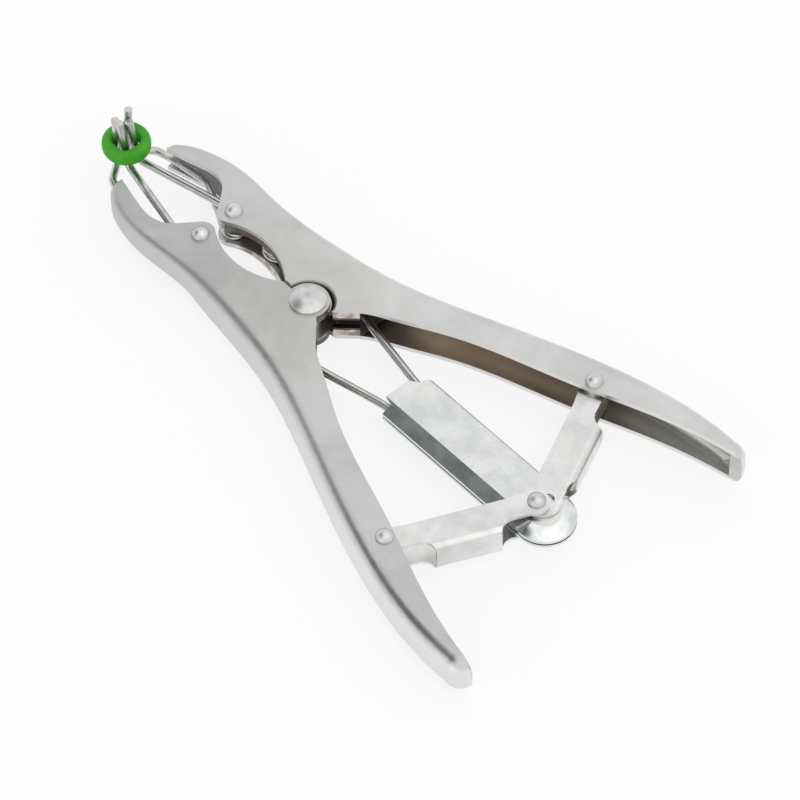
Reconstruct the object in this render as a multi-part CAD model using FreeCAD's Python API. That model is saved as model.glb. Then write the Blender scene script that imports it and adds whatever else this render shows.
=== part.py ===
import FreeCAD, Part
import math
import os

V = FreeCAD.Vector

# Driving sizes in millimetres. X runs back along the tool from the main pivot,
# +Y is the right handle's side, and Z is up. Everything is built about the
# middle plane of the tool and lifted onto its resting rivets at the end.

# Sheet and wire stock
SHEET = 1.5
THIN = 1.0
WIRE_R = 1.25

# Running gaps
PLAY = 0.1
PIN_PLAY = 0.05

# Channel heights, measured from the middle plane to the outside
HANDLE_HALF = 6.75
JAW_TOP = 5.0
JAW_UNDER = 4.6
END_HALF = 6.0
TOP_TAPER_X = (-71.0, -44.0)
UNDER_TAPER_X = (-36.0, -20.0)
FOLD_START_X = -36.0
FOLD_GROWN_X = -12.0
END_TAPER_X = 111.0

# Outside line of the handle web, from the jaw tip to the grip's end
WEB_LINE = [(-74.0, 13.3), (-70.4, 16.1), (-65.0, 18.3), (-53.0, 20.2), (-36.0, 19.6), (-15.0, 21.4),
            (8.0, 25.3), (40.0, 36.5), (75.0, 49.7), (103.0, 56.4), (120.3, 57.4)]
JAW_FOLD_R = 2.8
GRIP_FOLD_R = 4.6
END_FOLD_R = 4.6

# Jaw tip, nose and the window in front of the pivot
TIP_X = -74.0
TIP_INNER_Y = 8.9
BITE_LINE = [(-68.5, 10.2), (-63.0, 11.6), (-57.0, 12.6), (-51.5, 11.4), (-47.8, 8.0)]
NOSE_FRONT = (-44.4, 3.6)
NOSE_TOP = (-41.6, 1.7)
NOSE_BACK = (-39.0, 2.1)
WINDOW_MID = (-25.0, 6.0)
WINDOW_BACK = (-10.5, 0.5)

# Grip flange edge, from behind the pivot to the grip's end
EAR_R = 6.6
EAR_END_DEG = 20.0
GRIP_EDGE = [(8.7, 4.4), (12.6, 8.4), (22.0, 14.1), (38.6, 23.0), (55.0, 29.6),
             (78.5, 37.7), (95.0, 44.2), (112.0, 49.7)]
GRIP_HEEL = (125.6, 56.0)
GRIP_END = (127.3, 52.7)
END_WALL = 4.2

# Lips turned in along the window's edge and behind the pivot
LIP_SLOT_HALF = 2.8
REAR_SLOT_HALF = 1.9
LIP_NOSE = (-44.2, -39.2)
LIP_FRONT = (-38.9, -9.6)
LIP_REAR = (7.2, 13.0)

# Main pivot: the right handle's ears are dished inside the left handle's
MAIN_SHANK_R = 2.5
MAIN_HEAD_R = 5.5
MAIN_HEAD_H = 1.9
MAIN_RIM_H = 0.8
TAIL_H = 1.2
MAIN_TAIL_R = 4.5
BUSH_R = 3.9
DISH_FLAT_R = 7.0
DISH_OUT_R = 10.5

# Small rivets
PIN_R = 1.5
HEAD_R = 2.75
HEAD_H = 1.9
HEAD_RIM_H = 0.4
TAIL_R = 2.5
JAW_PIVOT = (-40.5, 6.6)
LINK_PIVOT = (78.5, 41.0)
TOGGLE_X = 97.5

# Links, in their own frame: along the link from the handle rivet, and across
# it towards the folded side
FOLD_ACROSS = 7.8
FRONT_ACROSS = -3.3
TONGUE_R = 4.0
FOLD_START = 13.0
FOLD_END = 32.5
SCOOP_RUN = 5.0
COLLAR_R = 2.9
TOGGLE_TAIL_H = 1.0
TOGGLE_LOBE_R = 6.2
LINK_FOLD_R = 2.6

# Sleeve: one sheet folded at the right, its lips nearly meeting at the left
MOUTH_X = 39.6
MOUTH_LEFT = (-5.0, 42.6)
MOUTH_RIGHT = (3.4, 42.3)
MOUTH_CORNER = (8.2, 44.6)
SLEEVE_LEFT_FOLD = 5.0
SLEEVE_HALF = 9.3
SLEEVE_FOLD_R = 1.6
LIP_GAP = 0.6
HEEL_X = 100.9

# Rear wire: hairpin round the toggle rivet, arms, spring coils and prongs
MOUTH_WIRE = (40.0, 6.1)
ARM_BEND = (0.0, 14.4)
ARM_BEND_R = 30.0
COIL_CENTRE = (-25.6, 11.6)
COIL_R = 4.3
COIL_Z = 1.3
COIL_TURN_DEG = 325.0
EYE_TURN_DEG = 290.0

# Prongs: the wires' run from the coil or the eye, and the tip of each one
REAR_RUN = [(-40.6, 10.1, 1.3), (-51.7, 8.0, 1.3), (-80.1, 1.7, 1.0), (-80.2, 1.7, 7.0)]
FRONT_RUN = [(-60.0, 12.6, -1.3), (-74.0, 10.4, -0.6), (-79.0, 8.6, 0.0), (-83.8, 1.9, 0.6),
             (-83.8, 1.9, 7.0)]
RIGHT_REAR_TIP = (-81.1, 0.9, 17.2)
LEFT_REAR_TIP = (-81.3, 2.7, 19.4)
RIGHT_FRONT_TIP = (-83.5, 2.8, 19.6)
LEFT_FRONT_TIP = (-84.1, 2.0, 18.0)
PRONG_BEND_R = 3.0
EASY_BEND_R = 8.0
LEAN_BEND_R = 20.0

# Ring
RING_X = -82.0
RING_R = 7.5
RING_HOLE_R = 4.3
RING_LOW = 5.0
RING_HIGH = 10.0
RING_ROUND = 1.55

# Squeeze: each handle turns this far towards the middle
SQUEEZE_HALF_DEG = 17.0
SLOT_STEPS = 24

REST_Z = HANDLE_HALF + TAIL_H
LEFT_LINK_TOP = HANDLE_HALF - SHEET - PLAY
RIGHT_LINK_TOP = LEFT_LINK_TOP - THIN - PLAY
SLEEVE_TOP = RIGHT_LINK_TOP - THIN - PLAY
LIP_TOP = THIN + LIP_GAP / 2


def point(xy, z=0.0):
    return V(xy[0], xy[1], z)


def line(a, b):
    return Part.LineSegment(a, b).toShape()


def arc(a, b, c):
    return Part.Arc(a, b, c).toShape()


def spline(points):
    curve = Part.BSplineCurve()
    curve.interpolate(points)
    return curve.toShape()


def face_of(edges):
    return Part.Face(Part.Wire(Part.__sortEdges__(edges)))


def slab(face, low, high):
    solid = face.extrude(V(0, 0, high - low))
    solid.translate(V(0, 0, low))
    return solid


def cylinder(radius, low, high, xy=(0.0, 0.0)):
    return Part.makeCylinder(radius, high - low, V(xy[0], xy[1], low))


def mirrored(shape):
    return shape.mirror(V(0, 0, 0), V(0, 1, 0))


def upside_down(shape):
    return shape.mirror(V(0, 0, 0), V(0, 0, 1))


def on_circle(radius, degrees, centre=(0.0, 0.0), z=0.0):
    angle = math.radians(degrees)
    return V(centre[0] + radius * math.cos(angle), centre[1] + radius * math.sin(angle), z)


def handle_face(ear_r):
    """Plan outline shared by the top and bottom flanges of the right handle."""
    tip_in = V(TIP_X, TIP_INNER_Y, 0)
    tip_out = point(WEB_LINE[0])
    web_end = point(WEB_LINE[-1])
    ear_front = V(-math.sqrt(ear_r ** 2 - WINDOW_BACK[1] ** 2), WINDOW_BACK[1], 0)
    ear_back = on_circle(ear_r, EAR_END_DEG)
    return face_of([
        line(tip_in, tip_out),
        spline([point(p) for p in WEB_LINE]),
        arc(web_end, point(GRIP_HEEL), point(GRIP_END)),
        spline([ear_back] + [point(p) for p in GRIP_EDGE] + [point(GRIP_END)]),
        arc(ear_back, V(0, -ear_r, 0), ear_front),
        line(ear_front, point(WINDOW_BACK)),
        arc(point(WINDOW_BACK), point(WINDOW_MID), point(NOSE_BACK)),
        arc(point(NOSE_BACK), point(NOSE_TOP), point(NOSE_FRONT)),
        spline([point(NOSE_FRONT)] + [point(p) for p in reversed(BITE_LINE)] + [tip_in]),
    ])


def inner_web_line():
    """The web's inside face in plan, one sheet inside its outside line."""
    web = []
    for index, here in enumerate(WEB_LINE):
        before = WEB_LINE[max(index - 1, 0)]
        after = WEB_LINE[min(index + 1, len(WEB_LINE) - 1)]
        run = V(after[0] - before[0], after[1] - before[1], 0)
        run.normalize()
        web.append(V(here[0] + SHEET * run.y, here[1] - SHEET * run.x, 0))
    return [web[0] * 2 - web[1]] + web


def inner_face():
    """Plan of the space inside the channel, open towards the middle and the tip."""
    web = inner_web_line()
    last = web[-1]
    heel = V(GRIP_HEEL[0] - SHEET * 0.7, GRIP_HEEL[1] - SHEET * 0.8, 0)
    end = V(GRIP_END[0] - SHEET * 1.1, GRIP_END[1], 0)
    far_in = V(end.x, -20, 0)
    near_in = V(TIP_X - 2, -20, 0)
    return face_of([spline(web), arc(last, heel, end), line(end, far_in), line(far_in, near_in),
                    line(near_in, web[0])])


def height_block(inset):
    """Block with the channel's height along X: low jaws, full grips, pinched ends."""
    grip = HANDLE_HALF - inset
    end = END_HALF - inset
    front_x = TIP_X - 10
    back_x = GRIP_END[0] + 3
    edges = [line(V(front_x, 0, JAW_TOP - inset), V(front_x, 0, inset - JAW_UNDER)),
             line(V(back_x, 0, end), V(back_x, 0, -end))]
    for side, jaw, (low_x, full_x) in ((1, JAW_TOP - inset, TOP_TAPER_X), (-1, JAW_UNDER - inset, UNDER_TAPER_X)):
        ease = (full_x - low_x) * 0.42
        jaw_blend = Part.BezierCurve()
        jaw_blend.setPoles([V(low_x, 0, side * jaw), V(low_x + ease, 0, side * jaw),
                            V(full_x - ease, 0, side * grip), V(full_x, 0, side * grip)])
        end_blend = Part.BezierCurve()
        end_run = back_x - END_TAPER_X
        end_blend.setPoles([V(END_TAPER_X, 0, side * grip), V(END_TAPER_X + 0.5 * end_run, 0, side * grip),
                            V(back_x, 0, side * end)])
        edges.append(line(V(front_x, 0, side * jaw), V(low_x, 0, side * jaw)))
        edges.append(jaw_blend.toShape())
        edges.append(line(V(full_x, 0, side * grip), V(FOLD_GROWN_X, 0, side * grip)))
        edges.append(line(V(FOLD_GROWN_X, 0, side * grip), V(END_TAPER_X, 0, side * grip)))
        edges.append(end_blend.toShape())
    block = face_of(edges).extrude(V(0, 160, 0))
    block.translate(V(0, -80, 0))
    return block


def fold_radius(x):
    if x < (FOLD_START_X + FOLD_GROWN_X) / 2:
        return JAW_FOLD_R
    if x >= GRIP_END[0] - 9:
        return END_FOLD_R
    return GRIP_FOLD_R


def rounded_folds(solid, track_edges, inset):
    """Round the edges that run along the folds, with a radius that grows from jaw to grip."""
    track = Part.Wire(Part.__sortEdges__(track_edges))
    plan = []
    for number, edge in enumerate(solid.Edges, start=1):
        a = edge.valueAt(edge.FirstParameter)
        b = edge.valueAt(edge.LastParameter)
        middle = edge.valueAt((edge.FirstParameter + edge.LastParameter) / 2)
        if min(abs(a.z), abs(b.z)) < 1.0 or a.z * b.z < 0:
            continue
        if max(Part.Vertex(V(p.x, p.y, 0)).distToShape(track)[0] for p in (a, middle, b)) < 0.05:
            plan.append((number, fold_radius(a.x) - inset, fold_radius(b.x) - inset))
    document = FreeCAD.newDocument()
    base = document.addObject("Part::Feature", "base")
    base.Shape = solid
    fillet = document.addObject("Part::Fillet", "fillet")
    fillet.Base = base
    fillet.Edges = plan
    document.recompute()
    rounded = fillet.Shape.copy()
    FreeCAD.closeDocument(document.Name)
    return rounded


def edge_band(points):
    """Plan band that holds one sheet's thickness inside an edge, and a little beyond it."""
    inner = []
    outer = []
    for before, here, after in zip([points[0]] + points[:-1], points, points[1:] + [points[-1]]):
        run = after - before
        run.normalize()
        inner.append(V(here.x - SHEET * run.y, here.y + SHEET * run.x, 0))
        outer.append(V(here.x + run.y, here.y - run.x, 0))
    return face_of([spline(inner), spline(outer), line(inner[0], outer[0]), line(inner[-1], outer[-1])])


def lip_points(edge, reach):
    """Seven points along a plan edge between two X positions, in the order of rising X."""
    points = []
    for step in range(601):
        share = step / 600
        here = edge.valueAt(edge.FirstParameter + (edge.LastParameter - edge.FirstParameter) * share)
        if reach[0] <= here.x <= reach[1]:
            points.append(here)
    points.sort(key=lambda p: p.x)
    last = len(points) - 1
    return [points[round(last * step / 6)] for step in range(7)]


def lips(ear_r):
    """Edges of the flanges turned in towards each other, with a slot left between them."""
    nose = arc(point(NOSE_BACK), point(NOSE_TOP), point(NOSE_FRONT))
    window = arc(point(WINDOW_BACK), point(WINDOW_MID), point(NOSE_BACK))
    ear_back = on_circle(ear_r, EAR_END_DEG)
    grip = spline([ear_back] + [point(p) for p in GRIP_EDGE] + [point(GRIP_END)])
    far = HANDLE_HALF + 1
    inside = slab(handle_face(ear_r), -far, far).common(height_block(SHEET))
    made = []
    for edge, reach, slot in ((nose, LIP_NOSE, LIP_SLOT_HALF), (window, LIP_FRONT, LIP_SLOT_HALF),
                              (grip, LIP_REAR, REAR_SLOT_HALF)):
        band = edge_band(lip_points(edge, reach))
        made.append(slab(band, slot, far).common(inside))
        made.append(slab(band, -far, -slot).common(inside))
    return made


def channel(ear_r):
    """Folded channel of one handle with its jaw, open towards the middle of the tool."""
    outline = slab(handle_face(ear_r), -HANDLE_HALF - 1, HANDLE_HALF + 1)
    outer = outline.common(height_block(0))
    web = spline([point(p) for p in WEB_LINE])
    heel = arc(point(WEB_LINE[-1]), point(GRIP_HEEL), point(GRIP_END))
    outer = rounded_folds(outer, [web, heel], 0)
    inner = slab(inner_face(), -HANDLE_HALF, HANDLE_HALF).common(height_block(SHEET))
    inner = rounded_folds(inner, [spline(inner_web_line())], SHEET)
    reach = GRIP_END[0] - END_WALL
    inner = inner.common(Part.makeBox(reach + 100, 200, 2 * HANDLE_HALF, V(-100, -100, -HANDLE_HALF)))
    return outer.cut(inner)


def dish_section():
    """Ear of the right handle: flat inside the left handle's ear, then stepped out."""
    low = HANDLE_HALF - 2 * SHEET - PLAY
    top = HANDLE_HALF - SHEET - PLAY
    step = HANDLE_HALF - top
    flat = DISH_FLAT_R
    corners = [V(0, 0, low), V(flat + 0.4, 0, low), V(flat + 0.4 + step, 0, low + step),
               V(DISH_OUT_R, 0, low + step), V(DISH_OUT_R, 0, HANDLE_HALF), V(flat + step, 0, HANDLE_HALF),
               V(flat, 0, top), V(0, 0, top)]
    edges = [line(a, b) for a, b in zip(corners, corners[1:] + corners[:1])]
    dish = face_of(edges).revolve(V(0, 0, 0), V(0, 0, 1), 360)
    return Part.makeSolid(dish.Shells[0]) if dish.ShapeType != "Solid" else dish


def handle_holes(main_r):
    far = HANDLE_HALF + 1
    return [cylinder(main_r, -far, far), cylinder(PIN_R, -far, far, JAW_PIVOT),
            cylinder(PIN_R, -far, far, LINK_PIVOT)]


def left_handle():
    blank = channel(EAR_R).fuse(lips(EAR_R))
    for hole in handle_holes(MAIN_SHANK_R):
        blank = blank.cut(hole)
    return mirrored(blank.removeSplitter())


def right_handle():
    ear_r = EAR_R - PLAY
    blank = channel(ear_r).cut(cylinder(DISH_OUT_R, -HANDLE_HALF - 1, HANDLE_HALF + 1))
    outline = slab(handle_face(ear_r), -HANDLE_HALF - 1, HANDLE_HALF + 1)
    dish = dish_section().common(outline)
    blank = blank.fuse([dish, upside_down(dish)] + lips(ear_r))
    for hole in handle_holes(MAIN_SHANK_R + PIN_PLAY):
        blank = blank.cut(hole)
    return blank.removeSplitter()


def domed_head(radius, height, rim, z, xy):
    """Head of a rivet on the surface at z: a short straight rim and a dome."""
    ball_r = (radius ** 2 + height ** 2) / (2 * height)
    base = z + rim
    ball = Part.makeSphere(ball_r, V(xy[0], xy[1], base + height - ball_r))
    return ball.common(cylinder(radius, base, base + 2 * height, xy)).fuse(cylinder(radius, z, base, xy))


def small_rivet(xy, top, under, tail_h):
    """Domed rivet through the two sides of a channel, from its top to its underside."""
    shank = cylinder(PIN_R, under - tail_h * 0.5, top + HEAD_RIM_H * 0.5, xy)
    head = domed_head(HEAD_R, HEAD_H, HEAD_RIM_H, top, xy)
    return shank.fuse([head, cylinder(TAIL_R, under - tail_h, under, xy)]).removeSplitter()


def main_rivet():
    half = HANDLE_HALF
    shank = cylinder(MAIN_SHANK_R, -half - TAIL_H * 0.5, half + MAIN_RIM_H * 0.5)
    head = domed_head(MAIN_HEAD_R, MAIN_HEAD_H, MAIN_RIM_H, half, (0, 0))
    return shank.fuse([head, cylinder(MAIN_TAIL_R, -half - TAIL_H, -half)]).removeSplitter()


def pivot_bush():
    half = HANDLE_HALF - 2 * SHEET - 2 * PLAY
    return cylinder(BUSH_R, -half, half).cut(cylinder(MAIN_SHANK_R, -half, half))


def jaw_rivet():
    return small_rivet(JAW_PIVOT, HANDLE_HALF, -JAW_UNDER, TAIL_H)


def link_rivet():
    return small_rivet(LINK_PIVOT, HANDLE_HALF, -HANDLE_HALF, TAIL_H)


def toggle_rivet():
    top = LEFT_LINK_TOP + PIN_PLAY
    return small_rivet((TOGGLE_X, 0), top, -top, TOGGLE_TAIL_H)


def link_length():
    return math.hypot(TOGGLE_X - LINK_PIVOT[0], LINK_PIVOT[1])


def place_link(shape):
    """Move a link from its own frame onto the right handle's link rivet."""
    angle = math.degrees(math.atan2(-LINK_PIVOT[1], TOGGLE_X - LINK_PIVOT[0]))
    placed = shape.copy()
    placed.rotate(V(0, 0, 0), V(0, 0, 1), angle)
    placed.translate(point(LINK_PIVOT))
    return placed


def link_plate_face(toggle_r):
    """Plate of a link: round tongues at both ends and the folded side between two scoops."""
    length = link_length()
    side = TONGUE_R - 0.2
    lobe = toggle_r - 0.1
    scoop = FOLD_ACROSS - side
    lobe_scoop = FOLD_ACROSS - lobe
    start = FOLD_START - SCOOP_RUN
    end = FOLD_END + SCOOP_RUN
    lobe_start = length - toggle_r * 0.75
    return face_of([
        arc(V(0, -TONGUE_R, 0), V(-TONGUE_R, 0, 0), V(0, TONGUE_R, 0)),
        line(V(0, TONGUE_R, 0), V(start, side, 0)),
        arc(V(start, side, 0), V(start + SCOOP_RUN * 0.72, side + scoop * 0.3, 0), V(FOLD_START, FOLD_ACROSS, 0)),
        line(V(FOLD_START, FOLD_ACROSS, 0), V(FOLD_END, FOLD_ACROSS, 0)),
        arc(V(FOLD_END, FOLD_ACROSS, 0), V(end - SCOOP_RUN * 0.72, lobe + lobe_scoop * 0.3, 0), V(end, lobe, 0)),
        line(V(end, lobe, 0), V(lobe_start, lobe, 0)),
        arc(V(lobe_start, lobe, 0), V(length + TONGUE_R * 0.95, 0.2, 0), V(length, -TONGUE_R, 0)),
        line(V(length, -TONGUE_R, 0), V(length - 8, FRONT_ACROSS, 0)),
        line(V(length - 8, FRONT_ACROSS, 0), V(8, FRONT_ACROSS, 0)),
        line(V(8, FRONT_ACROSS, 0), V(0, -TONGUE_R, 0)),
    ])


def folded_bar(across, top, radius, run):
    """Long bar with two rounded edges on its folded side."""
    bar = Part.makeBox(run, 40, 2 * top, V(-15, across - 40, -top))
    folds = [e for e in bar.Edges if e.Length > run - 1 and abs(e.CenterOfMass.y - across) < 0.01]
    return bar.makeFillet(radius, folds)


def link_channel(top, toggle_r):
    """Folded link: two plates joined by a web on the rear side."""
    run = link_length() + 30
    bar = folded_bar(FOLD_ACROSS, top, LINK_FOLD_R, run)
    hollow = folded_bar(FOLD_ACROSS - THIN, top - THIN, LINK_FOLD_R - THIN, run)
    shell = bar.cut(hollow).common(slab(link_plate_face(toggle_r), -top, top))
    middle = 2 * (top - THIN)
    for start, end in ((-15, FOLD_START), (FOLD_END, run - 15)):
        shell = shell.cut(Part.makeBox(end - start, 60, middle, V(start, -30, THIN - top)))
    return shell


def left_link():
    far = HANDLE_HALF
    shape = link_channel(LEFT_LINK_TOP, TONGUE_R)
    shape = shape.cut(cylinder(PIN_R + PIN_PLAY, -far, far))
    shape = shape.cut(cylinder(PIN_R + PIN_PLAY, -far, far, (link_length(), 0)))
    return mirrored(place_link(shape))


def toggle_track():
    """Where the toggle rivet runs in the right link's frame over one squeeze."""
    radius = math.hypot(LINK_PIVOT[0], LINK_PIVOT[1])
    start = math.atan2(LINK_PIVOT[1], LINK_PIVOT[0])
    length = link_length()
    lean = math.asin(radius * math.sin(start) / length)
    squeeze = math.radians(SQUEEZE_HALF_DEG)
    lean_end = math.asin(radius * math.sin(start - squeeze) / length)
    track = []
    for step in range(SLOT_STEPS + 1):
        share = step / SLOT_STEPS
        handle = start - squeeze * share
        link = lean + (lean_end - lean) * share
        side = length * math.sin(link) - radius * math.sin(handle)
        track.append((length - 2 * side * math.sin(link), 2 * side * math.cos(link)))
    return track


def right_link():
    far = HANDLE_HALF
    shape = link_channel(RIGHT_LINK_TOP, TOGGLE_LOBE_R)
    shape = shape.cut(cylinder(PIN_R + PIN_PLAY, -far, far))
    for spot in toggle_track():
        shape = shape.cut(cylinder(PIN_R + PLAY, -far, far, spot))
    return place_link(shape)


def right_link_collar():
    low = RIGHT_LINK_TOP + PLAY
    high = HANDLE_HALF - SHEET
    ring = cylinder(COLLAR_R, low, high, LINK_PIVOT)
    return ring.cut(cylinder(PIN_R, low - 1, high + 1, LINK_PIVOT))


def sleeve_face():
    """Plan outline of the sleeve, stepped at the mouth where the wires come out."""
    half = SLEEVE_HALF
    left_y, left_x = MOUTH_LEFT
    right_y, right_x = MOUTH_RIGHT
    corner_y, corner_x = MOUTH_CORNER
    wire_y = MOUTH_WIRE[1]
    mouth = [V(left_x, -half, 0), V(left_x, left_y - 0.6, 0), V(MOUTH_X, left_y, 0), V(MOUTH_X, right_y, 0),
             V(right_x, wire_y - 0.6, 0), V(corner_x - 1.2, corner_y, 0), V(corner_x, half, 0)]
    edges = [line(a, b) for a, b in zip(mouth, mouth[1:])]
    heel_right = V(HEEL_X, half, 0)
    heel_left = V(HEEL_X, -half, 0)
    edges.append(line(mouth[-1], heel_right))
    edges.append(arc(heel_right, V(HEEL_X + half, 0, 0), heel_left))
    edges.append(line(heel_left, mouth[0]))
    return face_of(edges)


def sleeve():
    """Folded sleeve with its sloping lips, and two dished rounds at the rear."""
    top = SLEEVE_TOP
    half = SLEEVE_HALF
    fold = SLEEVE_LEFT_FOLD
    outside = [V(0, -half, LIP_TOP), V(0, -fold, top), V(0, half, top), V(0, half, -top), V(0, -fold, -top),
               V(0, -half, -LIP_TOP)]
    low = LIP_TOP - THIN
    inside = [V(0, -half - 1, low), V(0, -half, low), V(0, -fold, top - THIN), V(0, half - THIN, top - THIN),
              V(0, half - THIN, THIN - top), V(0, -fold, THIN - top), V(0, -half, -low), V(0, -half - 1, -low)]
    length = HEEL_X - MOUTH_X
    solids = []
    for corners in (outside, inside):
        edges = [line(p, q) for p, q in zip(corners, corners[1:] + corners[:1])]
        solid = face_of(edges).extrude(V(length, 0, 0))
        solid.translate(V(MOUTH_X, 0, 0))
        solids.append(solid)
    folds = [e for e in solids[0].Edges if e.Length > length - 1 and e.CenterOfMass.y > half - 0.01]
    shell = solids[0].makeFillet(SLEEVE_FOLD_R, folds)
    creases = [e for e in solids[1].Edges if e.Length > length - 1 and e.CenterOfMass.y > half - THIN - 0.01]
    shell = shell.cut(solids[1].makeFillet(SLEEVE_FOLD_R - THIN, creases))
    round_corners = [V(0, 0, top - THIN), V(fold, 0, top - THIN), V(half, 0, low), V(half, 0, LIP_TOP),
                     V(fold, 0, top), V(0, 0, top)]
    edges = [line(round_corners[0], round_corners[1]), line(round_corners[2], round_corners[3]),
             line(round_corners[4], round_corners[5]), line(round_corners[5], round_corners[0])]
    for start, end in ((round_corners[1], round_corners[2]), (round_corners[4], round_corners[3])):
        middle = V(start.x + (end.x - start.x) * 0.56, 0, start.z + (end.z - start.z) * 0.38)
        edges.append(arc(start, middle, end))
    dish = face_of(edges).revolve(V(0, 0, 0), V(0, 0, 1), 360)
    dish.translate(V(HEEL_X, 0, 0))
    dish = dish.common(Part.makeBox(40, 60, 20, V(HEEL_X - 0.001, -30, -10)))
    shell = shell.fuse([dish, upside_down(dish)])
    shell = shell.common(slab(sleeve_face(), -HANDLE_HALF, HANDLE_HALF))
    return shell.cut(cylinder(PIN_R, -HANDLE_HALF, HANDLE_HALF, (TOGGLE_X, 0))).removeSplitter()


def wire_path(points, radii):
    """Line-and-arc path through points, with a bend radius at each inner point."""
    edges = []
    start = points[0]
    for before, here, after, radius in zip(points, points[1:], points[2:], radii):
        back = before - here
        ahead = after - here
        back.normalize()
        ahead.normalize()
        half = back.getAngle(ahead) / 2
        reach = radius / math.tan(half)
        a = here + back * reach
        b = here + ahead * reach
        inward = back + ahead
        inward.normalize()
        middle = here + inward * (radius / math.sin(half) - radius)
        edges.append(line(start, a))
        edges.append(arc(a, middle, b))
        start = b
    edges.append(line(start, points[-1]))
    return edges


def wire_piece(edge):
    """Wire along one straight or curved edge."""
    tangent = edge.tangentAt(edge.FirstParameter)
    profile = Part.Face(Part.Wire([Part.makeCircle(WIRE_R, edge.valueAt(edge.FirstParameter), tangent)]))
    if isinstance(edge.Curve, Part.Line):
        return profile.extrude(edge.valueAt(edge.LastParameter) - edge.valueAt(edge.FirstParameter))
    turn = math.degrees(edge.LastParameter - edge.FirstParameter)
    return profile.revolve(edge.Curve.Center, edge.Curve.Axis, turn)


def bent_wire(edges, *balls):
    """Wire along a path, with a ball at each named point."""
    pieces = [wire_piece(edge) for edge in edges]
    pieces += [Part.makeSphere(WIRE_R, ball) for ball in balls]
    return pieces[0].fuse(pieces[1:]).removeSplitter()


def leave_angle(centre, radius, towards, side):
    """Angle on an eye at which the wire runs off straight towards a point."""
    dx = towards[0] - centre[0]
    dy = towards[1] - centre[1]
    return math.degrees(math.atan2(dy, dx) + side * math.acos(radius / math.hypot(dx, dy)))


def eye(centre, radius, z, leave, turn):
    """Open turn of wire that begins where the wire leaves it."""
    return arc(on_circle(radius, leave, centre, z), on_circle(radius, leave + turn / 2, centre, z),
               on_circle(radius, leave + turn, centre, z))


def rear_wire():
    """Hairpin round the toggle rivet with an arm and one spring turn on each side."""
    loop_r = PIN_R + WIRE_R + PIN_PLAY
    mouth = V(MOUTH_WIRE[0], MOUTH_WIRE[1], 0)
    bend = V(ARM_BEND[0], ARM_BEND[1], -COIL_Z)
    leave = leave_angle(COIL_CENTRE, COIL_R, ARM_BEND, 1)
    coil_start = on_circle(COIL_R, leave, COIL_CENTRE, -COIL_Z)
    top = V(TOGGLE_X, loop_r, 0)
    arm = wire_path([top, mouth, bend, coil_start], [ARM_BEND_R, ARM_BEND_R])
    turn = eye(COIL_CENTRE, COIL_R, -COIL_Z, leave, COIL_TURN_DEG)
    half_loop = arc(V(TOGGLE_X + loop_r, 0, 0), on_circle(loop_r, 45, (TOGGLE_X, 0)), top)
    side = bent_wire([half_loop] + arm + [turn], top)
    return side.fuse(mirrored(side)).removeSplitter()


def rear_prong(tip):
    run = [V(*p) for p in REAR_RUN]
    leave = leave_angle(COIL_CENTRE, COIL_R, REAR_RUN[0], -1)
    start = on_circle(COIL_R, leave, COIL_CENTRE, COIL_Z)
    leg = wire_path([start] + run + [V(*tip)], [EASY_BEND_R, EASY_BEND_R, PRONG_BEND_R, LEAN_BEND_R])
    turn = eye(COIL_CENTRE, COIL_R, COIL_Z, leave, -COIL_TURN_DEG)
    return bent_wire([turn] + leg)


def front_prong(tip):
    run = [V(*p) for p in FRONT_RUN]
    eye_r = PIN_R + WIRE_R + PIN_PLAY
    leave = leave_angle(JAW_PIVOT, eye_r, FRONT_RUN[0], 1)
    start = on_circle(eye_r, leave, JAW_PIVOT, -COIL_Z)
    radii = [EASY_BEND_R, EASY_BEND_R, PRONG_BEND_R, PRONG_BEND_R, LEAN_BEND_R]
    leg = wire_path([start] + run + [V(*tip)], radii)
    turn = eye(JAW_PIVOT, eye_r, -COIL_Z, leave, EYE_TURN_DEG)
    return bent_wire([turn] + leg)


def rubber_ring():
    ring = cylinder(RING_R, RING_LOW, RING_HIGH, (RING_X, 0))
    ring = ring.cut(cylinder(RING_HOLE_R, RING_LOW - 1, RING_HIGH + 1, (RING_X, 0)))
    return ring.makeFillet(RING_ROUND, [e for e in ring.Edges if e.Length > 5 and e.Closed])


def all_parts():
    collar = right_link_collar()
    return {
        "left_handle": left_handle(),
        "right_handle": right_handle(),
        "main_rivet": main_rivet(),
        "pivot_bush": pivot_bush(),
        "right_jaw_rivet": jaw_rivet(),
        "left_jaw_rivet": mirrored(jaw_rivet()),
        "right_link_rivet": link_rivet(),
        "left_link_rivet": mirrored(link_rivet()),
        "toggle_rivet": toggle_rivet(),
        "left_link": left_link(),
        "right_link": right_link(),
        "right_link_collar_top": collar,
        "right_link_collar_bottom": upside_down(collar),
        "sleeve_shell": sleeve(),
        "rear_wire_hairpin": rear_wire(),
        "right_rear_prong": rear_prong(RIGHT_REAR_TIP),
        "left_rear_prong": mirrored(rear_prong(LEFT_REAR_TIP)),
        "right_front_prong": front_prong(RIGHT_FRONT_TIP),
        "left_front_prong": mirrored(front_prong(LEFT_FRONT_TIP)),
        "rubber_ring": rubber_ring(),
    }


if __name__ == "__main__":
    os.makedirs("parts", exist_ok=True)
    for name, shape in all_parts().items():
        lifted = shape.copy()
        lifted.translate(V(0, 0, REST_Z))
        box = lifted.BoundBox
        print(name, lifted.isValid(), len(lifted.Solids), round(lifted.Volume, 1),
              [round(v, 1) for v in (box.XMin, box.XMax, box.YMin, box.YMax, box.ZMin, box.ZMax)])
        lifted.exportStep("parts/" + name + ".step")
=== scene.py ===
import bpy
import bmesh
import math
from mathutils import Matrix, Vector


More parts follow.
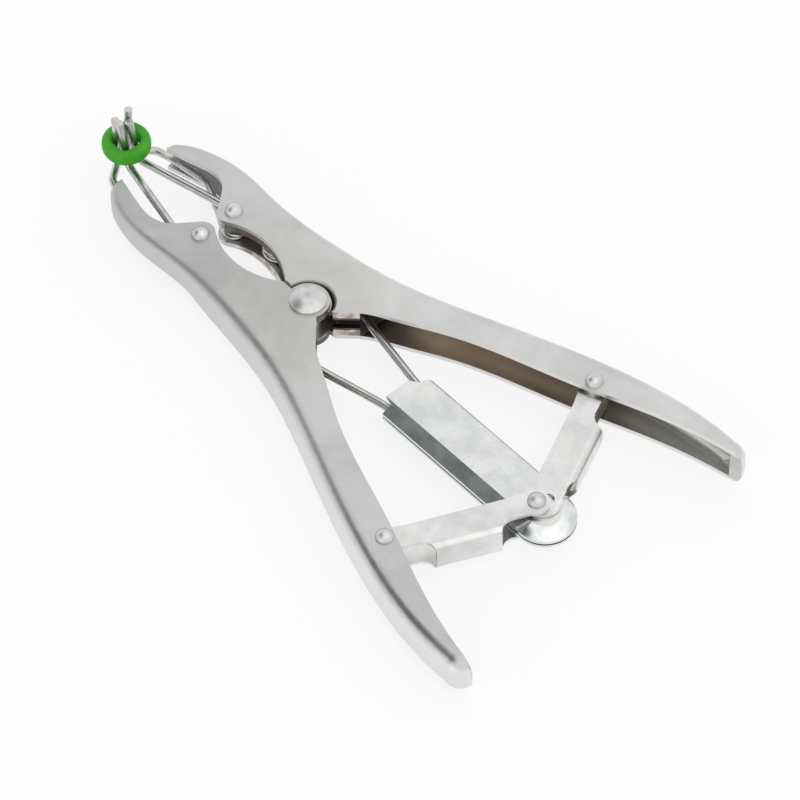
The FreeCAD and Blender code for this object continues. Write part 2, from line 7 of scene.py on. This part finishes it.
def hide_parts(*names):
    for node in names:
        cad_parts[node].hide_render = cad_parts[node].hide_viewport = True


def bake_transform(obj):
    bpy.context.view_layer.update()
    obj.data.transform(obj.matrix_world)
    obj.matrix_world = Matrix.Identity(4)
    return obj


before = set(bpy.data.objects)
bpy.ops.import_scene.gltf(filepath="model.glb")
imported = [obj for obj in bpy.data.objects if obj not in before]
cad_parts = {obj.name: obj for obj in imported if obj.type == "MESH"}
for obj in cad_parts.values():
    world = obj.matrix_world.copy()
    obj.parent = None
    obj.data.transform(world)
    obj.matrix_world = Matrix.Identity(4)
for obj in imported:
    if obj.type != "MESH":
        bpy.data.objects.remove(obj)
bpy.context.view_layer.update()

MM = 0.001
MID_Z = 7.95 * MM

# Camera, fitted to the pivots and outlines; angles in degrees
CAMERA_TARGET = Vector((41.63, -1.48, 7.95)) * MM
CAMERA_AZ = -42.13
CAMERA_EL = 52.24
CAMERA_ROLL = -0.40
CAMERA_DISTANCE = 1329.8 * MM
CAMERA_LENS = 206.3
CAMERA_SENSOR = 36.0
CAMERA_CLIP = 50.0 * MM

# Surroundings: brightness, and the direction, angular reach and colour of their dark side
WORLD_STRENGTH = 0.95
DARK_SIDE_AZ = 221.0
DARK_SIDE_EL = 50.0
DARK_SIDE_NEAR_DEG = 15.0
DARK_SIDE_FAR_DEG = 26.0
DARK_SIDE_TONE = (0.03, 0.05, 0.055, 1)

# Lamps: two disks that face the same point
LAMP_TARGET = Vector((0.03, 0, 0))

# Floor, and the share of its look that stays plain white under the object's shadow
FLOOR_SIZE = 4.0
FLOOR_PLACE = (0.04, 0, 0)
FLOOR_TONE = (0.95, 0.95, 0.95)
FLOOR_ROUGHNESS = 0.8
FLOOR_WHITE = 0.8

# Rubber ring: its place, its section, and the round-cornered square of its hole
RING_X = -82.0 * MM
RING_MID_Z = MID_Z + 7.5 * MM
RING_TUBE_MID_R = 5.85 * MM
RING_TUBE_WIDE = 1.65 * MM
RING_TUBE_HIGH = 2.6 * MM
RING_OUT_R = RING_TUBE_MID_R + RING_TUBE_WIDE
RING_HOLE_R = RING_TUBE_MID_R - RING_TUBE_WIDE
RING_HOLE_HALF = 3.55 * MM
RING_HOLE_SOFT = 6.0 / MM
RING_SHOULDER = 0.8
RING_AROUND = 96
RING_SECTION = 28

# Height above the middle plane below which a face of a channel counts as its inside
CHANNEL_INSIDE = 5.3 * MM

# Lips on the handles' open sides: half the slot between them, and the x where each pair ends
LIP_SLOT = 2.75 * MM
LIP_FRONT_END = -9.0 * MM
LIP_REAR_END = 13.4 * MM

# Spans in x over which one look of the handles turns into the next
JAW_TO_WINDOW = (-40.0 * MM, -36.0 * MM)
JAWWARD_SPAN = (-70.0 * MM, 15.0 * MM)
WEB_SPAN = (-70.0 * MM, 80.0 * MM)
DULL_SPAN = (-60.0 * MM, 60.0 * MM)
PIVOT_TO_THROAT = (LIP_REAR_END, 18.0 * MM)
THROAT_TO_GRIP = (25.0 * MM, 60.0 * MM)
GRIP_TO_END = (65.0 * MM, 95.0 * MM)

# Spans in the distance from the main pivot's axis
WARM_REACH = (6.0 * MM, 34.0 * MM)
GROOVE_INNER = (6.2 * MM, 6.6 * MM)
GROOVE_OUTER = (7.6 * MM, 8.3 * MM)
DIMPLE_REACH = (0.8 * MM, 2.4 * MM)
DIMPLE_RAGGED = 1.0 * MM

# Strengths of the looks that are laid over the plated tone
SHADE_STRENGTH = 0.9
WARM_STRENGTH = 0.9
# Strength of the painted shade in the ring round the ear's edge
GROOVE_SHADE_STRENGTH = 0.9
JAWWARD_STRENGTH = 0.3
# Strength of the painted shade in the large rivet head's punch mark
DIMPLE_SHADE_STRENGTH = 0.5
SPECK_STRENGTH = 0.05

# Gloss: what the sheet gains in roughness towards the jaws, the roughness inside them, what the
# fine grain adds or takes away, and the rubber's
JAWWARD_DULLING = 0.16
JAW_ROUGHNESS = 0.65
GRAIN_GLOSS = 0.01
RUBBER_ROUGHNESS = 0.7
RUBBER_SPECULAR = 0.3

# Limits on a face's normal: how far it may lean to count as upright, inward or sloped
UPRIGHT_LIMIT = 0.5
INWARD_LIMIT = 0.2
SLOPED_LIMIT = 0.95
FLAT_SPAN = (0.5, 0.9)

# Spans of the cloudy noise that become full patches
PATCH_SPAN = (0.35, 0.65)
SPECK_SPAN = (0.45, 0.65)
GRAIN_SPAN = (0.3, 0.7)
MOTTLE_SPAN = (0.35, 0.7)
BLOTCH_SPAN = (0.38, 0.60)

# Relief of the metal and of the rubber: strength and depth
METAL_RELIEF = (0.03, 0.4 * MM)
RUBBER_RELIEF = (0.1, 0.2 * MM)

# Single tones of the metal, and of painted shade
SPECK_TONE = (0.322, 0.34, 0.331)
WARM_TONE = (0.537, 0.523, 0.474)
JAWWARD_TONE = (0.376, 0.376, 0.371)
# Painted shade at the step round the ear's edge, where the flange drops to the ear
GROOVE_SHADE_TONE = (0.06, 0.045, 0.04)
# Painted shade for the large rivet head's punch mark
DIMPLE_SHADE_TONE = (0.35, 0.35, 0.35)

# Pairs of tones, the first giving way to the second over a noise or a span
WEB_TONES = (0.573, 0.573, 0.568), (0.769, 0.769, 0.765)
# Light streaked tones for the jaws' insides, which are also painted light that lifts their shaded inside
JAW_STREAKS_AND_PAINTED_LIGHT = (0.716, 0.716, 0.707), (0.859, 0.859, 0.85)
LIP_BLOTCHES = (0.30, 0.25, 0.21), (0.74, 0.70, 0.65)
# Channel tones below: brown stains with painted shade, darkest by the pivot and lighter towards the grip's
# end
PIVOT_STAIN_AND_SHADE = (0.06, 0.04, 0.035), (0.15, 0.115, 0.095)
THROAT_STAIN_AND_SHADE = (0.64, 0.56, 0.48), (0.78, 0.70, 0.60)
GRIP_STAIN_AND_SHADE = (0.46, 0.39, 0.33), (0.58, 0.51, 0.44)
END_STAIN_AND_SHADE = (0.50, 0.50, 0.47), (0.62, 0.62, 0.59)
RUBBER_TONES = (0.042, 0.30, 0.015), (0.066, 0.40, 0.024)

# The channel's stains and painted shade behind the pivot's, each with the span over which they come in
LATER_STAINS_AND_SHADE = (PIVOT_TO_THROAT, THROAT_STAIN_AND_SHADE), (THROAT_TO_GRIP, GRIP_STAIN_AND_SHADE), (GRIP_TO_END, END_STAIN_AND_SHADE)

scene = bpy.context.scene


def direction(azimuth, elevation):
    """Unit vector towards an azimuth and an elevation in degrees."""
    az, el = math.radians(azimuth), math.radians(elevation)
    return Vector((math.cos(el) * math.cos(az), math.cos(el) * math.sin(az), math.sin(el)))


def add_camera():
    """Camera that looks at its target, turned a little about its own axis."""
    back = direction(CAMERA_AZ, CAMERA_EL)
    right = Vector((0, 0, 1)).cross(back).normalized()
    up = back.cross(right)
    roll = math.radians(CAMERA_ROLL)
    c, s = math.cos(roll), math.sin(roll)
    turn = Matrix((right * c + up * s, up * c - right * s, back)).transposed().to_4x4()
    data = bpy.data.cameras.new("camera")
    data.lens = CAMERA_LENS
    data.sensor_width = CAMERA_SENSOR
    data.clip_start = CAMERA_CLIP
    camera = bpy.data.objects.new("camera", data)
    camera.matrix_world = Matrix.Translation(CAMERA_TARGET + back * CAMERA_DISTANCE) @ turn
    scene.collection.objects.link(camera)
    scene.camera = camera


def add_lamp(name, place, size, power):
    """Disk lamp, with its size in metres and its power in watts."""
    data = bpy.data.lights.new(name, "AREA")
    data.energy = power
    data.shape = "DISK"
    data.size = size
    lamp = bpy.data.objects.new(name, data)
    lamp.location = place
    lamp.rotation_euler = (LAMP_TARGET - Vector(place)).to_track_quat("-Z", "Y").to_euler()
    scene.collection.objects.link(lamp)


def add_world():
    """Even white surroundings with one soft dark side, which the folds and slopes reflect."""
    world = bpy.data.worlds.new("studio")
    world.use_nodes = True
    nodes, links = world.node_tree.nodes, world.node_tree.links
    shade = nodes["Background"]
    shade.inputs["Strength"].default_value = WORLD_STRENGTH
    where = nodes.new("ShaderNodeTexCoord")
    unit = nodes.new("ShaderNodeVectorMath")
    unit.operation = "NORMALIZE"
    links.new(where.outputs["Generated"], unit.inputs[0])
    facing = nodes.new("ShaderNodeVectorMath")
    facing.operation = "DOT_PRODUCT"
    links.new(unit.outputs[0], facing.inputs[0])
    facing.inputs[1].default_value = direction(DARK_SIDE_AZ, DARK_SIDE_EL)
    ramp = nodes.new("ShaderNodeMapRange")
    ramp.interpolation_type = "SMOOTHSTEP"
    ramp.inputs["From Min"].default_value = math.cos(math.radians(DARK_SIDE_FAR_DEG))
    ramp.inputs["From Max"].default_value = math.cos(math.radians(DARK_SIDE_NEAR_DEG))
    links.new(facing.outputs["Value"], ramp.inputs["Value"])
    mix = nodes.new("ShaderNodeMix")
    mix.data_type = "RGBA"
    links.new(ramp.outputs["Result"], mix.inputs["Factor"])
    mix.inputs["A"].default_value = (1, 1, 1, 1)
    mix.inputs["B"].default_value = DARK_SIDE_TONE
    links.new(mix.outputs["Result"], shade.inputs["Color"])
    scene.world = world


class Graph:
    """Node tree of one material, with short calls for the nodes that the looks share."""

    def __init__(self, name):
        self.material = bpy.data.materials.new(name)
        self.material.use_nodes = True
        self.nodes = self.material.node_tree.nodes
        self.links = self.material.node_tree.links
        self.shader = self.nodes["Principled BSDF"]

    def feed(self, value, socket):
        """Give an input a number, a colour or another node's output."""
        if isinstance(value, (int, float)):
            socket.default_value = value
        elif isinstance(value, tuple):
            socket.default_value = (*value, 1)
        else:
            self.links.new(value, socket)

    def surface(self, name, value):
        """Feed one input of the material's surface, in place of what fed it before."""
        self.feed(value, self.shader.inputs[name])

    def math(self, operation, a, b=0.0):
        node = self.nodes.new("ShaderNodeMath")
        node.operation = operation
        self.feed(a, node.inputs[0])
        self.feed(b, node.inputs[1])
        return node.outputs[0]

    def times(self, first, *others):
        product = first
        for other in others:
            product = self.math("MULTIPLY", product, other)
        return product

    def add(self, a, b):
        return self.math("ADD", a, b)

    def less(self, a, b):
        return self.math("LESS_THAN", a, b)

    def more(self, a, b):
        return self.math("GREATER_THAN", a, b)

    def either(self, a, b):
        return self.math("MAXIMUM", a, b)

    def absent(self, mask):
        return self.math("SUBTRACT", 1.0, mask)

    def size(self, value):
        return self.math("ABSOLUTE", value)

    def mix(self, factor, low, high):
        node = self.nodes.new("ShaderNodeMix")
        node.data_type = "RGBA"
        self.feed(factor, node.inputs["Factor"])
        self.feed(low, node.inputs["A"])
        self.feed(high, node.inputs["B"])
        return node.outputs["Result"]

    def noise(self, scale, detail=3.0, roughness=0.5, distortion=0.0, stretch=(1, 1, 1)):
        place = self.nodes.new("ShaderNodeTexCoord")
        mapping = self.nodes.new("ShaderNodeMapping")
        mapping.inputs["Scale"].default_value = stretch
        self.links.new(place.outputs["Object"], mapping.inputs["Vector"])
        texture = self.nodes.new("ShaderNodeTexNoise")
        texture.inputs["Scale"].default_value = scale
        texture.inputs["Detail"].default_value = detail
        texture.inputs["Roughness"].default_value = roughness
        texture.inputs["Distortion"].default_value = distortion
        self.links.new(mapping.outputs["Vector"], texture.inputs["Vector"])
        return texture.outputs["Fac"]

    def spread(self, value, span, out_low=0.0, out_high=1.0):
        """Turn a span of a value into a span of results, and hold the ends beyond it."""
        ramp = self.nodes.new("ShaderNodeMapRange")
        self.feed(value, ramp.inputs["Value"])
        self.feed(span[0], ramp.inputs["From Min"])
        self.feed(span[1], ramp.inputs["From Max"])
        self.feed(out_low, ramp.inputs["To Min"])
        self.feed(out_high, ramp.inputs["To Max"])
        return ramp.outputs["Result"]

    def choose(self, mask, without, within):
        return self.spread(mask, (0, 1), without, within)

    def relief(self, height, strength, depth):
        node = self.nodes.new("ShaderNodeBump")
        node.inputs["Strength"].default_value = strength
        node.inputs["Distance"].default_value = depth
        self.links.new(height, node.inputs["Height"])
        self.surface("Normal", node.outputs["Normal"])

    def split(self, name):
        """The three parts of a point's place ("Object") or of its face's normal ("Normal")."""
        where = self.nodes.new("ShaderNodeTexCoord")
        parts = self.nodes.new("ShaderNodeSeparateXYZ")
        self.links.new(where.outputs[name], parts.inputs[0])
        return parts.outputs

    def pivot_reach(self, x, y):
        """Distance from the main pivot's axis."""
        return self.math("SQRT", self.add(self.times(x, x), self.times(y, y)))


def add_floor():
    """Pale floor that keeps the shadow, and shows mostly plain white to the camera and in reflections."""
    g = Graph("floor")
    g.surface("Base Color", FLOOR_TONE)
    g.surface("Roughness", FLOOR_ROUGHNESS)
    white = g.nodes.new("ShaderNodeEmission")
    white.inputs["Strength"].default_value = 1.0
    rays = g.nodes.new("ShaderNodeLightPath")
    seen = g.either(rays.outputs["Is Camera Ray"], rays.outputs["Is Glossy Ray"])
    blend = g.nodes.new("ShaderNodeMixShader")
    g.links.new(g.times(seen, FLOOR_WHITE), blend.inputs[0])
    g.links.new(g.shader.outputs[0], blend.inputs[1])
    g.links.new(white.outputs[0], blend.inputs[2])
    g.links.new(blend.outputs[0], g.nodes["Material Output"].inputs["Surface"])
    bpy.ops.mesh.primitive_plane_add(size=FLOOR_SIZE, location=FLOOR_PLACE)
    floor = bpy.context.object
    floor.name = "floor"
    floor.data.materials.append(g.material)


def metal(name, light, dark, rough, patch, grain=900.0, specks=SPECK_STRENGTH):
    """Plated steel: soft cloudy patches in tone and gloss, and a fine grain of specks."""
    g = Graph(name)
    g.surface("Metallic", 1.0)
    cloud = g.noise(patch, detail=5.0, roughness=0.6, distortion=0.4)
    fine = g.noise(grain, roughness=0.6)
    patches = g.mix(g.spread(cloud, PATCH_SPAN), dark, light)
    g.tone = g.mix(g.spread(fine, SPECK_SPAN, 0.0, specks), patches, SPECK_TONE)
    g.surface("Base Color", g.tone)
    smooth, dull = rough
    grain_gloss = g.spread(fine, GRAIN_SPAN, -GRAIN_GLOSS, GRAIN_GLOSS)
    g.gloss = g.add(g.spread(cloud, PATCH_SPAN, dull, smooth), grain_gloss)
    g.surface("Roughness", g.gloss)
    g.relief(cloud, *METAL_RELIEF)
    return g


def channel_stain_and_shade(g, x):
    """Mottled brown stains and painted shade inside the channel, which change from the pivot to the grip's
    end.
    """
    mottle = g.spread(g.noise(70.0, detail=4.0), MOTTLE_SPAN)
    stain_and_shade = g.mix(mottle, *PIVOT_STAIN_AND_SHADE)
    for span, tones in LATER_STAINS_AND_SHADE:
        stain_and_shade = g.mix(g.spread(x, span), stain_and_shade, g.mix(mottle, *tones))
    return stain_and_shade


def channel_hollow(g, x, height, inward):
    """Mask of the channel's inside, seen past its lips or, where it has none, over its whole depth."""
    behind_lips = g.more(x, LIP_REAR_END)
    no_top_lip = g.either(behind_lips, g.less(x, LIP_FRONT_END))
    upper = g.choose(no_top_lip, LIP_SLOT, CHANNEL_INSIDE)
    lower = g.choose(behind_lips, -LIP_SLOT, -CHANNEL_INSIDE)
    return g.times(g.less(height, upper), g.more(height, lower), inward)


def handle_metal(name, side, light, dark):
    """Plated sheet: brown stains in the channel with painted shade over them, blotched lips, jaw insides
    painted lighter with streaks as painted light, and painted shade in a ring round the ear's edge.
    """
    g = metal(name, light, dark, rough=(0.28, 0.36), patch=38.0, grain=700.0)
    x, y, z = g.split("Object")
    normal = g.split("Normal")
    upward = normal["Z"]
    steepness = g.size(upward)
    reach = g.pivot_reach(x, y)
    height = g.math("SUBTRACT", z, MID_Z)
    inward = g.less(g.times(normal["Y"], side), INWARD_LIMIT)
    past_jaw = g.spread(x, JAW_TO_WINDOW)
    within = g.less(g.size(height), CHANNEL_INSIDE)
    channel_face = g.times(within, g.less(steepness, UPRIGHT_LIMIT), inward)

    warm_noise = g.spread(g.noise(55.0, detail=4.0, roughness=0.6, distortion=0.5), GRAIN_SPAN)
    warmth = g.times(g.spread(reach, WARM_REACH, WARM_STRENGTH, 0.0), warm_noise)
    tone = g.mix(warmth, g.tone, WARM_TONE)
    tone = g.mix(g.spread(x, JAWWARD_SPAN, JAWWARD_STRENGTH, 0.0), tone, JAWWARD_TONE)
    web = g.absent(g.either(channel_face, g.spread(steepness, FLAT_SPAN)))
    tone = g.mix(web, tone, g.mix(g.spread(x, WEB_SPAN), *WEB_TONES))

    # Painted light: the jaws' inner faces and the lower sheet inside them are painted lighter, with streaks
    streaks = g.spread(g.noise(300.0, roughness=0.6, stretch=(0.1, 0.3, 3.0)), PATCH_SPAN)
    lower_sheet = g.times(g.more(upward, UPRIGHT_LIMIT), g.less(height, 0.0))
    jaw_faces = g.either(channel_face, g.times(lower_sheet, within))
    jaw_inside = g.times(jaw_faces, g.absent(past_jaw))
    tone = g.mix(jaw_inside, tone, g.mix(streaks, *JAW_STREAKS_AND_PAINTED_LIGHT))
    duller = g.add(g.gloss, g.spread(x, DULL_SPAN, JAWWARD_DULLING, 0.0))
    g.surface("Roughness", g.choose(jaw_inside, duller, JAW_ROUGHNESS))

    blotches = g.spread(g.noise(240.0, detail=4.0, roughness=0.6, distortion=1.0), BLOTCH_SPAN)
    lips = g.times(channel_face, past_jaw, g.less(x, LIP_REAR_END))
    tone = g.mix(lips, tone, g.mix(blotches, *LIP_BLOTCHES))
    # Painted shade with brown stains over the channel's inside, behind the jaws
    shade = g.times(channel_hollow(g, x, height, inward), past_jaw, SHADE_STRENGTH)
    tone = g.mix(shade, tone, channel_stain_and_shade(g, x))

    # Painted shade: a dark ring at the step round the ear's edge, on sloped and upright faces
    ear_edge = g.times(g.spread(reach, GROOVE_INNER), g.spread(reach, GROOVE_OUTER, 1.0, 0.0))
    groove_shade = g.times(ear_edge, g.less(steepness, SLOPED_LIMIT), GROOVE_SHADE_STRENGTH)
    g.surface("Base Color", g.mix(groove_shade, tone, GROOVE_SHADE_TONE))
    return g.material


def rivet_metal():
    """Plated rivet steel, with painted shade in the middle of the large head, where its closing tool left a
    punch mark.
    """
    g = metal("rivet_steel", light=(0.752, 0.752, 0.743), dark=(0.573, 0.573, 0.564),
              rough=(0.34, 0.44), patch=260.0)
    place = g.split("Object")
    # Painted shade: ragged darkening round the main pivot's axis, in the large head's punch mark
    ragged = g.times(g.noise(400.0), DIMPLE_RAGGED)
    reach = g.add(g.pivot_reach(place["X"], place["Y"]), ragged)
    dimple_shade = g.spread(reach, DIMPLE_REACH, DIMPLE_SHADE_STRENGTH, 0.0)
    g.surface("Base Color", g.mix(dimple_shade, g.tone, DIMPLE_SHADE_TONE))
    return g.material


def rubber():
    """Dull green rubber with faint clouds and a fine grain."""
    g = Graph("green_rubber")
    cloud = g.noise(260.0, detail=4.0, roughness=0.6)
    g.surface("Base Color", g.mix(g.spread(cloud, GRAIN_SPAN), *RUBBER_TONES))
    g.surface("Roughness", RUBBER_ROUGHNESS)
    g.surface("Specular IOR Level", RUBBER_SPECULAR)
    g.relief(g.noise(1500.0, detail=2.0), *RUBBER_RELIEF)
    return g.material


def paint(material, *names):
    """Give the named nodes of the frame one material."""
    for name in names:
        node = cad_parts[name]
        node.data.materials.clear()
        node.data.materials.append(material)


def ring_radius(turn, r):
    """Radius at one turn: the outside stays round, and the hole lies close round the four wires."""
    square = RING_HOLE_HALF / max(abs(math.cos(turn)), abs(math.sin(turn)))
    smaller = math.exp(-RING_HOLE_SOFT * square) + math.exp(-RING_HOLE_SOFT * RING_HOLE_R)
    hole = -math.log(smaller) / RING_HOLE_SOFT
    return RING_OUT_R - (RING_OUT_R - r) * (RING_OUT_R - hole) / (RING_OUT_R - RING_HOLE_R)


def shouldered(value):
    """Push a sine or cosine outwards, which squares the shoulders of a round section."""
    return math.copysign(abs(value) ** RING_SHOULDER, value)


def ring_section(mesh, turn):
    """Closed row of points round the ring's section at one turn."""
    points = []
    for j in range(RING_SECTION):
        t = 2 * math.pi * j / RING_SECTION
        r = ring_radius(turn, RING_TUBE_MID_R + shouldered(math.cos(t)) * RING_TUBE_WIDE)
        z = RING_MID_Z + shouldered(math.sin(t)) * RING_TUBE_HIGH
        points.append(mesh.verts.new((RING_X + r * math.cos(turn), r * math.sin(turn), z)))
    return points


def add_ring(material):
    """Soft round-shouldered ring, whose hole lies close round the four wires."""
    mesh = bmesh.new()
    sections = [ring_section(mesh, 2 * math.pi * i / RING_AROUND) for i in range(RING_AROUND)]
    for i in range(RING_AROUND):
        a, b = sections[i], sections[(i + 1) % RING_AROUND]
        for j in range(RING_SECTION):
            k = (j + 1) % RING_SECTION
            mesh.faces.new((a[j], b[j], b[k], a[k])).smooth = True
    mesh.normal_update()
    data = bpy.data.meshes.new("rubber_ring_soft")
    mesh.to_mesh(data)
    mesh.free()
    data.materials.append(material)
    ring = bpy.data.objects.new("rubber_ring_soft", data)
    scene.collection.objects.link(ring)
    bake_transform(ring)
    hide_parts("rubber_ring")


add_world()
add_floor()
add_camera()
add_lamp("overhead", (0.35, 0.1, 1.3), size=1.9, power=3.0)
add_lamp("side", (0.2, -1.6, 0.35), size=1.3, power=1.2)

# Painted shade: the left handle has darker tones than the right, though both are the same plated sheet
left_sheet_painted_shade = handle_metal("left_plated_sheet_painted_shade", -1, light=(0.608, 0.608, 0.604), dark=(0.474, 0.474, 0.47))
right_sheet = handle_metal("right_plated_sheet", 1, light=(0.707, 0.707, 0.702), dark=(0.591, 0.591, 0.582))
link_sheet = metal("link_sheet", light=(0.823, 0.823, 0.814), dark=(0.644, 0.644, 0.635),
                   rough=(0.22, 0.32), patch=90.0).material
sleeve_sheet = metal("sleeve_sheet", light=(0.823, 0.832, 0.814), dark=(0.662, 0.689, 0.671),
                     rough=(0.20, 0.28), patch=110.0, grain=1400.0, specks=0.10).material
spring_wire = metal("spring_wire", light=(0.698, 0.698, 0.689), dark=(0.519, 0.519, 0.51),
                    rough=(0.20, 0.30), patch=200.0).material

paint(left_sheet_painted_shade, "left_handle")
paint(right_sheet, "right_handle")
paint(link_sheet, "left_link", "right_link")
paint(sleeve_sheet, "sleeve_shell")
paint(rivet_metal(), "main_rivet", "pivot_bush", "left_jaw_rivet", "right_jaw_rivet", "left_link_rivet",
      "right_link_rivet", "toggle_rivet", "right_link_collar_top", "right_link_collar_bottom")
paint(spring_wire, "rear_wire_hairpin", "left_rear_prong", "right_rear_prong", "left_front_prong",
      "right_front_prong")
add_ring(rubber())

scene.view_settings.view_transform = "Standard"
